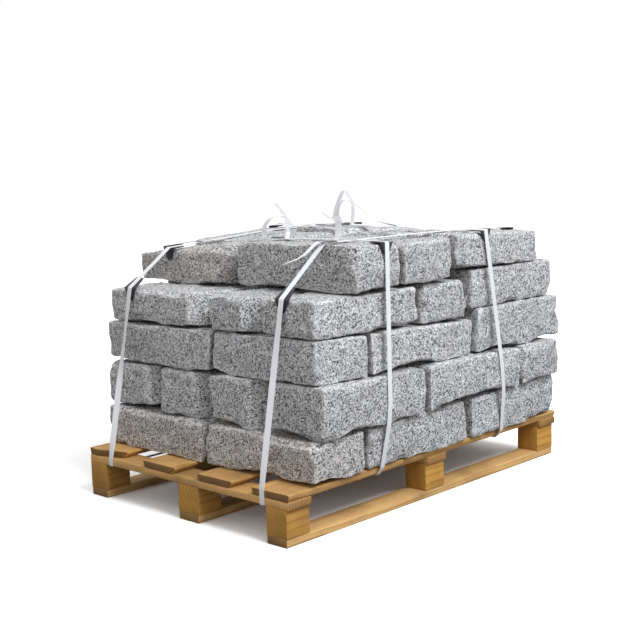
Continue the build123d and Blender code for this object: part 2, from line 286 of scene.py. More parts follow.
ringLook = {
    "cloudStretch": (0.25, 1.6, 1.6),
    "cloudScale": 5.0,
    "ringBend": 0.05,
    "ringTones": [(0.0, 0.15), (0.55, 0.35), (0.88, 0.9), (1.0, 0.2)],
    "ringShare": 0.75,
    "fibreStretch": (8, 420, 420),
    "fibreShare": 1.1,
}


def cellValues(group, place, scale):
    # three random values for each of the grains that fill the stone
    cells = addTexture(group, "ShaderNodeTexVoronoi", place)
    join(group, scale, cells.inputs["Scale"])
    split = addNode(group, "ShaderNodeSeparateColor")
    join(group, cells.outputs["Color"], split.inputs[0])
    return split.outputs


def makeGraniteGroup():
    # crystals of feldspar and quartz, with black mica between them
    group, entry, leave = newGroup(
        "graniteCrystals",
        [
            ("Vector", "NodeSocketVector", None),
            ("Crystal Scale", "NodeSocketFloat", 290.0),
            ("Mica", "NodeSocketFloat", 0.5),
        ],
        [("Color", "NodeSocketColor"), ("Height", "NodeSocketFloat")],
    )
    place = entry.outputs["Vector"]
    scale = entry.outputs["Crystal Scale"]
    wobble = addTexture(group, "ShaderNodeTexNoise", place, Scale=crystalLook["wobbleScale"], Detail=2.0)
    bent = mixNode(group, "VECTOR", crystalLook["wobbleShare"], place, wobble.outputs["Color"])
    crystals = cellValues(group, bent, scale)
    tone = rampNode(group, crystals[0], crystalLook["tones"])
    flecks = cellValues(group, bent, mathNode(group, "MULTIPLY", scale, crystalLook["fleckFineness"]))
    share = mathNode(group, "MULTIPLY", entry.outputs["Mica"], crystalLook["fleckShare"])
    isFleck = mathNode(group, "LESS_THAN", flecks[1], share)
    mask = mathNode(group, "MULTIPLY", isFleck, crystalLook["fleckCover"])
    join(group, mixColor(group, mask, tone, crystalLook["fleckColor"]), leave.inputs["Color"])
    join(group, mathNode(group, "SUBTRACT", crystals[1], isFleck), leave.inputs["Height"])
    return group


def stretchedNoise(group, place, stretch, **settings):
    # a cloudy value, drawn out along the axes that have a small stretch
    space = addNode(group, "ShaderNodeMapping")
    space.inputs["Scale"].default_value = stretch
    join(group, place, space.inputs["Vector"])
    return addTexture(group, "ShaderNodeTexNoise", space.outputs[0], **settings).outputs["Fac"]


def heartDistance(group, place):
    # how far a place is from the heart line, which runs along x
    split = addNode(group, "ShaderNodeSeparateXYZ")
    join(group, place, split.inputs[0])
    across = mathNode(group, "MULTIPLY", split.outputs[1], split.outputs[1])
    upward = mathNode(group, "MULTIPLY", split.outputs[2], split.outputs[2])
    return mathNode(group, "SQRT", mathNode(group, "ADD", across, upward))


def makeTimberGroup():
    # growth rings round a heart line that runs with the board, so long faces show grain and ends show rings
    group, entry, leave = newGroup(
        "timberRings",
        [
            ("Vector", "NodeSocketVector", None),
            ("Ring Scale", "NodeSocketFloat", 90.0),
            ("Pale", "NodeSocketColor", (0.72, 0.50, 0.25, 1)),
            ("Dark", "NodeSocketColor", (0.36, 0.20, 0.075, 1)),
        ],
        [("Color", "NodeSocketColor"), ("Height", "NodeSocketFloat")],
    )
    place = entry.outputs["Vector"]
    cloud = stretchedNoise(group, place, ringLook["cloudStretch"], Scale=ringLook["cloudScale"], Detail=3.0)
    bend = mathNode(group, "MULTIPLY", cloud, ringLook["ringBend"])
    radius = mathNode(group, "ADD", heartDistance(group, place), bend)
    ring = mathNode(group, "FRACT", mathNode(group, "MULTIPLY", radius, entry.outputs["Ring Scale"]))
    late = rampNode(group, ring, ringLook["ringTones"])
    fibres = stretchedNoise(group, place, ringLook["fibreStretch"], Scale=1.0, Detail=3.0, Roughness=0.6)
    ringAmount = mathNode(group, "MULTIPLY", late, ringLook["ringShare"])
    fibreAmount = mathNode(group, "SUBTRACT", fibres, 0.5)
    fibreAmount = mathNode(group, "MULTIPLY", fibreAmount, ringLook["fibreShare"])
    amount = mathNode(group, "ADD", ringAmount, fibreAmount, clamp=True)
    color = mixColor(group, amount, entry.outputs["Pale"], entry.outputs["Dark"])
    join(group, color, leave.inputs["Color"])
    join(group, mathNode(group, "SUBTRACT", fibres, late), leave.inputs["Height"])
    return group


def makeGrimeGroup():
    # soft uneven dirt, as a mask
    group, entry, leave = newGroup(
        "unevenGrime",
        [
            ("Vector", "NodeSocketVector", None),
            ("Size", "NodeSocketFloat", 9.0),
            ("Low", "NodeSocketFloat", 0.42),
            ("High", "NodeSocketFloat", 0.68),
        ],
        [("Mask", "NodeSocketFloat")],
    )
    cloud = addTexture(group, "ShaderNodeTexNoise", entry.outputs["Vector"], Detail=5.0, Roughness=0.6)
    join(group, entry.outputs["Size"], cloud.inputs["Scale"])
    spread = addNode(group, "ShaderNodeMapRange")
    join(group, cloud.outputs["Fac"], spread.inputs["Value"])
    join(group, entry.outputs["Low"], spread.inputs["From Min"])
    join(group, entry.outputs["High"], spread.inputs["From Max"])
    join(group, spread.outputs[0], leave.inputs["Mask"])
    return group


graniteGroup = makeGraniteGroup()
timberGroup = makeTimberGroup()
grimeGroup = makeGrimeGroup()
print("shared effects made")


# Granite

graniteLook = {
    "tones": [
        (0.97, 0.98, 1.00),
        (0.91, 0.91, 0.915),
        (1.02, 1.02, 1.03),
        (0.955, 0.92, 0.89),
    ],
    "warmTone": 3,
    "warmEnd": -0.25,
    "seed": 7,
    "crystalScale": 290.0,
    "crystalHeight": 0.35,
    "micaShare": 0.70,
    # edgeLight, edgeColor and edgeLimits: sharp ridges lightened, partly as fresh broken granite and partly
    # as a painted highlight where the edges catch the light
    "edgeLight": 0.30,
    "edgeColor": (0.80, 0.79, 0.77),
    "edgeLimits": (0.505, 0.56),
    "dirt": {"Size": 7.0, "Low": 0.35, "High": 0.75, "share": 0.16, "color": (0.30, 0.28, 0.25)},
    "roughness": 0.82,
    "specular": 0.35,
    "gritScale": 160.0,
    "bumpStrength": 0.8,
    "bumpHeight": 0.9 * mm,
}


def ridgeMask(tree, limits):
    # 0 on even faces and 1 along sharp ridges
    geometry = addNode(tree, "ShaderNodeNewGeometry")
    ridge = addNode(tree, "ShaderNodeMapRange")
    ridge.inputs["From Min"].default_value = limits[0]
    ridge.inputs["From Max"].default_value = limits[1]
    join(tree, geometry.outputs["Pointiness"], ridge.inputs["Value"])
    return ridge.outputs[0]


def makeGranite(name, tint):
    material, tree, shader = newMaterial(name, graniteLook["roughness"], graniteLook["specular"])
    place = objectPlace(tree)
    crystals = placeGroup(tree, graniteGroup, place, **{
        "Crystal Scale": graniteLook["crystalScale"],
        "Mica": graniteLook["micaShare"],
    })
    tinted = mixColor(tree, 1.0, crystals.outputs["Color"], tint, "MULTIPLY")
    dirty = addDirt(tree, place, tinted, graniteLook["dirt"])
    # sharp ridges lightened: fresh broken granite, and partly a painted highlight where the edges catch the
    # light
    brokenEdgeAndHighlight = mathNode(tree, "MULTIPLY", ridgeMask(tree, graniteLook["edgeLimits"]), graniteLook["edgeLight"])
    join(tree, mixColor(tree, brokenEdgeAndHighlight, dirty, graniteLook["edgeColor"]), shader.inputs["Base Color"])
    gritScale = graniteLook["gritScale"]
    grit = addTexture(tree, "ShaderNodeTexNoise", place, Scale=gritScale, Detail=4.0, Roughness=0.7)
    height = mathNode(tree, "MULTIPLY", crystals.outputs["Height"], graniteLook["crystalHeight"])
    height = mathNode(tree, "ADD", height, grit.outputs["Fac"])
    addBump(tree, shader, height, graniteLook["bumpStrength"], graniteLook["bumpHeight"])
    return material


stoneShape = {
    "voxel": 6.4 * mm,
    "cornerSmoothing": 1,
    "smoothingFactor": 0.15,
    "waves": ("CLOUDS", 0.085, 5.0 * mm),
    "chips": ("VORONOI", 0.036, 3.4 * mm),
    "grit": ("CLOUDS", 0.012, 1.8 * mm),
    "chipSharpness": 1.5,
    "cloudDetail": 2,
    "middle": 0.60,
    "flakeReach": 17 * mm,
    "flakeDepth": 9 * mm,
    "flakeSizes": (8.0, 21.0),
    "flakeFineShare": 0.5,
    "flakeShare": 0.14,
    "flakeSharpness": 3,
    "flakeSpread": 5,
    "bedReach": 45 * mm,
    "bedInset": 67.5 * mm,
    "bedDepth": {"lower": 26 * mm, "upper": 8 * mm},
    "bedGape": 0.20,
    "bedWaves": 6.5,
    "bedSpread": 40,
    "smoothAngle": 40,
    "frontEnd": -0.3,
}

# ends broken off at a slant at the pallet's front, each by its course and a place across it in m:
# width across the front, depth into the load, lean of the break
slantedEnds = [
    (4, -0.12, 66 * mm, 62 * mm, 0.10),
    (4, 0.20, 62 * mm, 74 * mm, 0.15),
    (2, -0.12, 42 * mm, 40 * mm, 0.05),
    (2, 0.10, 44 * mm, 48 * mm, -0.05),
    (2, 0.30, 36 * mm, 34 * mm, 0.05),
    (5, 0.15, 58 * mm, 52 * mm, -0.55),
]


def displaceTexture(name, kind, size):
    texture = bpy.data.textures.new(name, kind)
    texture.noise_scale = size
    if kind == "VORONOI":
        texture.distance_metric = "DISTANCE_SQUARED"
        texture.noise_intensity = stoneShape["chipSharpness"]
    else:
        texture.noise_depth = stoneShape["cloudDetail"]
    return texture


stoneTextures = [
    (displaceTexture(part, stoneShape[part][0], stoneShape[part][1]), stoneShape[part][2])
    for part in ("waves", "chips", "grit")
]


def breakEnds(stone, course):
    # the front right end of a stone cut away at a slant, where its break is listed
    low, high = boxOf(stone)
    if low.x > stoneShape["frontEnd"]:
        return
    for at, across, width, depth, lean in slantedEnds:
        if at != course or not low.y < across < high.y:
            continue
        editAll(stone)
        spot = Vector((low.x, low.y + width, (low.z + high.z) / 2))
        facing = Vector((-width, -depth, lean * width))
        bpy.ops.mesh.bisect(plane_co=spot, plane_no=facing, use_fill=True, clear_outer=True)
        leaveEdit()


def bedDip(place, level):
    # how much a bed dips at a place, as a share of its depth
    waves = stoneShape["bedWaves"]
    spot = Vector((place.x * waves, place.y * waves, level * stoneShape["bedSpread"]))
    return max(0.0, noise.noise(spot) + stoneShape["bedGape"])


def hollowBeds(stone):
    # the beds dip here and there near the faces, so that the joints between courses gape
    low, high = boxOf(stone)
    reach = stoneShape["bedReach"]
    depths = stoneShape["bedDepth"]
    for vertex in stone.data.vertices:
        co = vertex.co
        inside = min(co.x - low.x, high.x - co.x, co.y - low.y, high.y - co.y)
        near = max(0.0, 1 - inside / stoneShape["bedInset"])
        lower = 1 - (co.z - low.z) / reach
        upper = 1 - (high.z - co.z) / reach
        if near == 0:
            continue
        if lower > 0:
            co.z += bedDip(co, low.z) * near * lower * depths["lower"]
        if upper > 0:
            co.z -= bedDip(co, high.z) * near * upper * depths["upper"]


def flakeOff(stone):
    # flakes broken away here and there along the stone's edges
    low, high = boxOf(stone)
    middle = (low + high) / 2
    wide, narrow = stoneShape["flakeSizes"]
    spread = middle * stoneShape["flakeSpread"]
    for vertex in stone.data.vertices:
        co = vertex.co
        inset = sorted((min(co[axis] - low[axis], high[axis] - co[axis]), axis) for axis in range(3))
        near = 1 - inset[1][0] / stoneShape["flakeReach"]
        if near <= 0:
            continue
        rough = noise.noise(co * wide + spread) + stoneShape["flakeFineShare"] * noise.noise(co * narrow)
        cut = max(0.0, rough - stoneShape["flakeShare"]) * stoneShape["flakeSharpness"]
        depth = near * min(1.0, cut) * stoneShape["flakeDepth"]
        for _, axis in inset[:2]:
            co[axis] += math.copysign(depth, middle[axis] - co[axis])


def hewStone(stone):
    # fine squares all over, softened corners, then hollows of three sizes cut inwards
    remesh = stone.modifiers.new("remesh", "REMESH")
    remesh.mode = "VOXEL"
    remesh.voxel_size = stoneShape["voxel"]
    applyModifier(stone, remesh)
    soften = stone.modifiers.new("soften", "SMOOTH")
    soften.factor = stoneShape["smoothingFactor"]
    soften.iterations = stoneShape["cornerSmoothing"]
    applyModifier(stone, soften)
    hollowBeds(stone)
    flakeOff(stone)
    for texture, depth in stoneTextures:
        hollow = stone.modifiers.new(texture.name, "DISPLACE")
        hollow.texture = texture
        hollow.texture_coords = "GLOBAL"
        hollow.strength = depth
        hollow.mid_level = stoneShape["middle"]
        applyModifier(stone, hollow)
    smoothShade(stone, stoneShape["smoothAngle"])


def kindOf(course, place):
    # the warmer stones stand at the pallet's front end, in the lowest course and at the left of the top one
    if place.x < graniteLook["warmEnd"] and (course == 1 or course == 5 and place.y > 0):
        return graniteKinds[graniteLook["warmTone"]]
    return stoneDice.choice(graniteKinds[:graniteLook["warmTone"]])


def hewCourse(course):
    node = f"course_{course}"
    stones = splitLoose(copyNode(node, f"stone_{course}"), f"stone_{course}")
    for stone in stones:
        breakEnds(stone, course)
        hewStone(stone)
        standFor(stone, node, kindOf(course, middleOf(stone)))
    print("course", course, "hewn:", len(stones), "stones")


graniteKinds = [
    makeGranite(f"granite{index}", tint)
    for index, tint in enumerate(graniteLook["tones"], start=1)
]
stoneDice = random.Random(graniteLook["seed"])
for course in range(1, 6):
    hewCourse(course)


# Pallet timber

# each kind of board: its pale and dark tones, how far apart its mesh is cut along each axis for the saw
# marks, how dark its sawn ends are, and whether its grain runs across the pallet
timberKinds = {
    "skid": {
        "tones": ((0.70, 0.44, 0.18), (0.36, 0.18, 0.05)),
        "cuts": (60 * mm, 20 * mm, 12 * mm),
        "endShade": 0.65,
        "turned": False,
    },
    "block": {
        "tones": ((0.60, 0.32, 0.07), (0.30, 0.13, 0.018)),
        "cuts": (20 * mm, 20 * mm, 20 * mm),
        "endShade": 0.12,
        "turned": False,
    },
    "stringer": {
        "tones": ((0.68, 0.40, 0.145), (0.22, 0.095, 0.02)),
        "cuts": (20 * mm, 50 * mm, 12 * mm),
        "endShade": 0.5,
        "turned": True,
    },
    "deck": {
        "tones": ((0.68, 0.40, 0.145), (0.22, 0.095, 0.02)),
        "cuts": (50 * mm, 20 * mm, 12 * mm),
        "endShade": 0.75,
        "turned": False,
    },
}

timberLook = {
    "endDark": (0.10, 0.045, 0.012),
    "endFacing": 0.8,
    "dirt": {"Size": 6.0, "Low": 0.45, "High": 0.72, "share": 0.55, "color": (0.15, 0.08, 0.035)},
    "roughness": 0.72,
    "specular": 0.3,
    "ringScale": 95.0,
    "heartAside": (0.05, 0.10),
    "heartBelow": (0.03, 0.06),
    "bumpStrength": 0.5,
    "bumpHeight": 0.8 * mm,
    "edgeRounding": 1.6 * mm,
    "roundedAngle": 40,
    "smoothAngle": 35,
    "sawDepth": 0.9 * mm,
    "sawWaves": (6, 30, 60),
    "sawSpread": 9,
    "seed": 21,
}
timberDice = random.Random(timberLook["seed"])


def makeTimber(name, kind, offset):
    material, tree, shader = newMaterial(name, timberLook["roughness"], timberLook["specular"])
    mapping = addNode(tree, "ShaderNodeMapping")
    mapping.inputs["Location"].default_value = offset
    mapping.inputs["Rotation"].default_value = (0, 0, math.radians(90) if kind["turned"] else 0)
    join(tree, objectPlace(tree), mapping.inputs["Vector"])
    place = mapping.outputs[0]
    pale, dark = kind["tones"]
    rings = placeGroup(tree, timberGroup, place, **{
        "Ring Scale": timberLook["ringScale"],
        "Pale": (*pale, 1),
        "Dark": (*dark, 1),
    })
    dirty = addDirt(tree, place, rings.outputs["Color"], timberLook["dirt"])
    geometry = addNode(tree, "ShaderNodeNewGeometry")
    facing = addNode(tree, "ShaderNodeSeparateXYZ")
    join(tree, geometry.outputs["True Normal"], facing.inputs[0])
    along = mathNode(tree, "ABSOLUTE", facing.outputs[1 if kind["turned"] else 0])
    isEnd = mathNode(tree, "GREATER_THAN", along, timberLook["endFacing"])
    shade = mathNode(tree, "MULTIPLY", isEnd, kind["endShade"])
    join(tree, mixColor(tree, shade, dirty, timberLook["endDark"]), shader.inputs["Base Color"])
    addBump(tree, shader, rings.outputs["Height"], timberLook["bumpStrength"], timberLook["bumpHeight"])
    return material


def cutAcross(obj, axis, step):
    # the mesh divided along one axis, so that the saw marks have points to move
    low, high = boxOf(obj)
    count = max(1, int((high[axis] - low[axis]) / step))
    for index in range(1, count):
        editAll(obj)
        spot = (low + high) / 2
        spot[axis] = low[axis] + (high[axis] - low[axis]) * index / count
        normal = Vector((0, 0, 0))
        normal[axis] = 1
        bpy.ops.mesh.bisect(plane_co=spot, plane_no=normal)
        leaveEdit()


def sawTimber(obj, kind):
    # rounded edges, then shallow saw marks and lifted fibres that run with the grain
    bevel = obj.modifiers.new("bevel", "BEVEL")
    bevel.width = timberLook["edgeRounding"]
    bevel.segments = 2
    bevel.angle_limit = math.radians(timberLook["roundedAngle"])
    applyModifier(obj, bevel)
    for axis, step in enumerate(kind["cuts"]):
        cutAcross(obj, axis, step)
    middle = middleOf(obj)
    withGrain, acrossGrain, upward = timberLook["sawWaves"]
    waves = (acrossGrain, withGrain, upward) if kind["turned"] else (withGrain, acrossGrain, upward)
    for vertex in obj.data.vertices:
        spot = Vector([vertex.co[axis] * waves[axis] for axis in range(3)])
        depth = abs(noise.noise(spot + middle * timberLook["sawSpread"])) * timberLook["sawDepth"]
        inward = [math.copysign(1, part) if abs(part) > 0 else 0 for part in middle - vertex.co]
        vertex.co += Vector(inward) * depth
    smoothShade(obj, timberLook["smoothAngle"])


def dressTimber(node, kindName):
    kind = timberKinds[kindName]
    obj = copyNode(node, f"wood_{node}")
    low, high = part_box(node)
    heart = (low + high) / 2
    asideStart, asideRange = timberLook["heartAside"]
    belowStart, belowRange = timberLook["heartBelow"]
    aside = asideStart + asideRange * timberDice.random()
    below = belowStart + belowRange * timberDice.random()
    offset = (-heart.y, heart.x, 0) if kind["turned"] else (-heart.x, -heart.y, 0)
    shift = (timberDice.random(), aside * timberDice.choice((-1, 1)), below - heart.z)
    sawTimber(obj, kind)
    standFor(obj, node, makeTimber(f"timber_{node}", kind, Vector(offset) + Vector(shift)))


for side in ("left", "middle", "right"):
    dressTimber(f"skid_board_{side}", "skid")
    for station in ("front", "middle", "back"):
        dressTimber(f"block_{station}_{side}", "block")
for station in ("front", "middle", "back"):
    dressTimber(f"stringer_{station}", "stringer")
for index in range(1, 5):
    dressTimber(f"deck_board_{index}", "deck")
print("pallet timber sawn")


# Strapping

strapLook = {
    "color": (0.80, 0.80, 0.82),
    "width": 17 * mm,
    "thickness": 0.9 * mm,
    "cordPitch": 1.4 * mm,
    "cords": 12,
    "grooveDepth": 0.12 * mm,
    # grooveShade and its colour: painted shade, darkening the grooves between the cords
    "grooveShade": 0.22,
    "grooveShadeColor": (0.48, 0.48, 0.51),
    "dirt": {"Size": 14.0, "Low": 0.45, "High": 0.8, "share": 0.22, "color": (0.60, 0.58, 0.55)},
    "roughness": 0.45,
    "specular": 0.9,
    "bumpStrength": 0.5,
    "bumpHeight": 0.25 * mm,
    "bendRadius": 3 * mm,
    "bendShare": 0.3,
    "bendEase": 0.1,
    "runStep": 50 * mm,
    "smoothAngle": 50,
    "endSteps": 8,
    "turnsBefore": -0.45,
    "roundedDigits": 6,
    "looseAbove": 757 * mm,
    "looseGlow": 0.68,
    "looseColor": (0.98, 0.98, 0.99),
}

# how far the two lengthwise straps turn on themselves in front of the load: height in m and degrees
frontTurns = {
    "lengthwise_left": [(0.10, 0), (0.15, 36), (0.32, 38), (0.40, 0), (0.47, -20), (0.56, 0)],
    "lengthwise_right": [(0.10, 0), (0.16, 20), (0.42, 24), (0.57, 0)],
    "crosswise_front": [],
    "crosswise_back": [],
}

# the loose ends of each strap: points along it and over it in mm, how far the tip swings aside, and how
# far it turns on itself in degrees
strapEnds = {
    "lengthwise_left": [],
    "lengthwise_right": [
        ([(-299, 0), (-288, 22), (-284, 48), (-296, 66)], -4, 25),
        ([(-341, 0), (-374, 4), (-433, -26), (-510, -42)], 6, 18),
    ],
    "crosswise_front": [
        ([(21, 0), (20, 28), (-6, 55), (-46, 64), (-77, 60), (-100, 41)], -14, 5),
        ([(-67, 0), (-60, 31), (-42, 64), (-3, 97)], 16, 10),
    ],
    "crosswise_back": [
        ([(77, 0), (67, 55), (84, 93), (104, 105), (144, 51), (157, 22), (178, 14), (212, 31)], 14, 20),
        ([(119, 0), (130, 32), (112, 67), (76, 81), (23, 57), (-37, 21), (-118, 7)], -16, -35),
    ],
}


def edgeVector(obj, edge):
    first, second = edge.vertices
    return obj.data.vertices[second].co - obj.data.vertices[first].co


def boxSpan(obj):
    corners = [Vector(corner) for corner in obj.bound_box]
    return max((first - second).length for first in corners for second in corners)


def insideCorners(obj, across):
    # without its two sides the inside of the loop comes apart from the outside with its loose ends
    selectOnly(obj)
    bpy.ops.object.mode_set(mode="EDIT")
    bpy.ops.mesh.select_mode(type="FACE")
    bpy.ops.mesh.select_all(action="DESELECT")
    leaveEdit()
    for face in obj.data.polygons:
        face.select = abs(face.normal.dot(across)) > 0.5
    bpy.ops.object.mode_set(mode="EDIT")
    bpy.ops.mesh.delete(type="ONLY_FACE")
    bpy.ops.mesh.select_mode(type="VERT")
    bpy.ops.mesh.select_all(action="SELECT")
    bpy.ops.mesh.delete_loose(use_verts=True, use_edges=True, use_faces=False)
    leaveEdit()
    bpy.ops.mesh.separate(type="LOOSE")
    lumps = sorted(bpy.context.selected_objects, key=boxSpan)
    corners = [vertex.co.copy() for vertex in lumps[-2].data.vertices]
    for lump in lumps:
        bpy.data.objects.remove(lump)
    return corners


def strapRoute(node):
    # the line that the inside of a strap's loop follows, read from its solid, and its width's direction
    obj = copyNode(node, "routeReader")
    widthEdge = min(obj.data.edges, key=lambda edge: abs(edgeVector(obj, edge).length - strapLook["width"]))
    across = edgeVector(obj, widthEdge).normalized()
    corners = insideCorners(obj, across)
    middle = sum(corners, Vector()) / len(corners)
    upright = (zWay - across * across.z).normalized()
    sideways = upright.cross(across)
    digits = strapLook["roundedDigits"]
    ways = (sideways, upright)
    ordered = sorted({tuple(round((co - middle).dot(way), digits) for way in ways) for co in corners})
    ring = halfHull(ordered) + halfHull(ordered[::-1])
    return [middle + sideways * a + upright * b for a, b in ring], across


def halfHull(ordered):
    # the outer side of a flat set of points, from the first to the last, without those in line
    chain = []
    for point in ordered:
        while len(chain) > 1 and turnOf(chain[-2], chain[-1], point) <= 1e-9:
            chain.pop()
        chain.append(point)
    return chain[:-1]


def turnOf(a, b, c):
    # above 0 where the way from a over b to c turns left
    return (b[0] - a[0]) * (c[1] - a[1]) - (b[1] - a[1]) * (c[0] - a[0])


def cordedSection(width, thickness):
    # outline of a corded strap: across the outside from one edge to the other, then back inside
    count = strapLook["cords"] * 2
    outside = []
    for index in range(count + 1):
        across = -width / 2 + width * index / count
        groove = strapLook["grooveDepth"] if index % 2 == 0 else 0
        outside.append((across, thickness / 2 - groove))
    inside = [(across, -up) for across, up in reversed(outside)]
    return outside + inside


def sweep(name, section, stations, closed):
    # a section carried along stations, each a point, its width way and its outward way
    vertices = []
    faces = []
    count = len(section)
    for point, across, out in stations:
        vertices += [point + across * a + out * b for a, b in section]
    last = len(stations) if closed else len(stations) - 1
    for step in range(last):
        here = step * count
        following = ((step + 1) % len(stations)) * count
        for index in range(count):
            neighbour = (index + 1) % count
            faces.append((here + index, here + neighbour, following + neighbour, following + index))
    if not closed:
        faces.append(tuple(reversed(range(count))))
        faces.append(tuple(range(len(vertices) - count, len(vertices))))
    mesh = bpy.data.meshes.new(name)
    mesh.from_pydata([tuple(v) for v in vertices], [], faces)
    obj = bpy.data.objects.new(name, mesh)
    bpy.context.scene.collection.objects.link(obj)
    editAll(obj)
    bpy.ops.mesh.normals_make_consistent(inside=False)
    leaveEdit()
    smoothShade(obj, strapLook["smoothAngle"])
    return obj


def outward(direction, across, away):
    out = direction.cross(across).normalized()
    return out if out.dot(away) > 0 else -out


def turnAt(turns, point):
    # how far a strap turns on itself at a point, in front of the load only
    if point.x > strapLook["turnsBefore"]:
        return 0.0
    for (low, first), (high, second) in zip(turns, turns[1:]):
        if low <= point.z <= high:
            share = (1 - math.cos(math.pi * (point.z - low) / (high - low))) / 2
            return math.radians(first + (second - first) * share)
    return 0.0


def turnSign(direction, side):
    # which way round a turn brings the outside of a strap in front of the load towards the side
    return 1 if direction.cross(-xWay).dot(side) > 0 else -1


def bendStations(corner, before, after, outs, across, reach):
    # a tight bend round a corner of the load: ahead of it, on it and past it
    lift = strapLook["thickness"] / 2
    folded = (outs[0] + outs[1]).normalized()
    return [
        (corner - before * reach + outs[0] * lift, across, outs[0]),
        (corner + folded * (lift - reach * strapLook["bendEase"]), across, folded),
        (corner + after * reach + outs[1] * lift, across, outs[1]),
    ]


def runStations(corner, following, across, out, turns):
    # the straight run from one corner of the load to the next
    lift = strapLook["thickness"] / 2
    way = (following - corner).normalized()
    side = -across if across.y > 0 else across
    steps = int((following - corner).length / strapLook["runStep"])
    stations = []
    for step in range(1, steps):
        point = corner.lerp(following, step / steps) + out * lift
        turned = Matrix.Rotation(turnAt(turns, point) * turnSign(way, side), 3, way)
        stations.append((point, turned @ across, turned @ out))
    return stations


def strapStations(ring, across, turns):
    # the stations of a strap's closed loop, round each corner and along each run
    stations = []
    middle = sum(ring, Vector()) / len(ring)
    for index, corner in enumerate(ring):
        previous = ring[index - 1]
        following = ring[(index + 1) % len(ring)]
        before = (corner - previous).normalized()
        after = (following - corner).normalized()
        outs = [outward(way, across, corner - middle) for way in (before, after)]
        shorter = min((corner - previous).length, (following - corner).length)
        reach = min(strapLook["bendRadius"], strapLook["bendShare"] * shorter)
        stations += bendStations(corner, before, after, outs, across, reach)
        stations += runStations(corner, following, across, outs[1], turns)
    return stations


def topPoint(ring, along, place):
    # the highest point of a strap's loop at a place along it
    found = []
    for index, start in enumerate(ring):
        finish = ring[(index + 1) % len(ring)]
        low, high = start.dot(along), finish.dot(along)
        if min(low, high) <= place <= max(low, high) and low != high:
            found.append(start.lerp(finish, (place - low) / (high - low)))
    return max(found, key=lambda point: point.z)


def smoothPath(points, perSpan):
    # a curve through points, as a run of short steps
    path = []
    last = len(points) - 1
    for index in range(last):
        before, start = points[max(index - 1, 0)], points[index]
        finish, after = points[index + 1], points[min(index + 2, last)]
        for step in range(perSpan):
            t = step / perSpan
            bend = (2 * start + (finish - before) * t + (2 * before - 5 * start + 4 * finish - after) * t * t)
            path.append((bend + (3 * start - before - 3 * finish + after) * t * t * t) / 2)
    return path + [points[-1]]


def endStations(ring, across, end):
    # the stations of one loose end, from the strap to its tip
    curve, aside, turned = end
    along = xWay if abs(across.y) > abs(across.x) else yWay
    rise = along.cross(across)
    rise = rise if rise.z > 0 else -rise
    first = curve[0][0]
    spring = topPoint(ring, along, first * mm) + rise * strapLook["thickness"] / 2
    points = [spring + along * ((place - first) * mm) + rise * (height * mm) for place, height in curve]
    path = smoothPath(points, strapLook["endSteps"])
    last = len(path) - 1
    stations = []
    for index, point in enumerate(path):
        share = index / last
        tangent = (path[min(index + 1, last)] - path[max(index - 1, 0)]).normalized()
        swung = point + across * (aside * mm * math.sin(share * math.pi / 2))
        turn = Matrix.Rotation(math.radians(turned) * share, 3, tangent)
        stations.append((swung, turn @ across, turn @ tangent.cross(across)))
    return stations


def cordWaves(tree, place, across):
    # waves across the strap, one for each of its cords
    dot = addNode(tree, "ShaderNodeVectorMath", operation="DOT_PRODUCT")
    dot.inputs[1].default_value = across
    join(tree, place, dot.inputs[0])
    phase = mathNode(tree, "MULTIPLY", dot.outputs["Value"], 2 * math.pi / strapLook["cordPitch"])
    return mathNode(tree, "SINE", phase)


def makeStrapping(name, across):
    material, tree, shader = newMaterial(name, strapLook["roughness"], strapLook["specular"])
    place = objectPlace(tree)
    cords = cordWaves(tree, place, across)
    lifted = mathNode(tree, "MULTIPLY_ADD", cords, 0.5, 0.5)
    sunken = mathNode(tree, "SUBTRACT", 1.0, lifted)
    # painted shade: the colour is darker in the grooves between the cords
    groove = mathNode(tree, "MULTIPLY", sunken, strapLook["grooveShade"], clamp=True)
    grooveShaded = mixColor(tree, groove, strapLook["color"], strapLook["grooveShadeColor"])
    join(tree, addDirt(tree, place, grooveShaded, strapLook["dirt"]), shader.inputs["Base Color"])
    addBump(tree, shader, cords, strapLook["bumpStrength"], strapLook["bumpHeight"])
    # the loose ends stand free of the load, so light comes through them
    height = addNode(tree, "ShaderNodeSeparateXYZ")
    join(tree, place, height.inputs[0])
    isLoose = mathNode(tree, "GREATER_THAN", height.outputs[2], strapLook["looseAbove"])
    glow = addNode(tree, "ShaderNodeBsdfTranslucent")
    glow.inputs["Color"].default_value = (*strapLook["looseColor"], 1)
    share = mathNode(tree, "MULTIPLY", isLoose, strapLook["looseGlow"])
    mixShaders(tree, share, shader, glow, "Material Output")
    return material


def makeStrap(strap, turns):
    # a strap's loop with its loose ends as one piece; gives back the line that the loop follows
    ring, across = strapRoute(f"strap_{strap}")
    section = cordedSection(strapLook["width"], strapLook["thickness"])
    parts = [sweep(f"ribbon_{strap}", section, strapStations(ring, across, turns), True)]
    for index, end in enumerate(strapEnds[strap], start=1):
        parts.append(sweep(f"end{index}_{strap}", section, endStations(ring, across, end), False))
    selectOnly(parts[0])
    for part in parts:
        part.select_set(True)
    if len(parts) > 1:
        bpy.ops.object.join()
    standFor(parts[0], f"strap_{strap}", makeStrapping(f"strapping_{strap}", across))
    return ring


strapRings = {strap: makeStrap(strap, turns) for strap, turns in frontTurns.items()}
print("straps pulled tight")


# Edge protectors and buckles

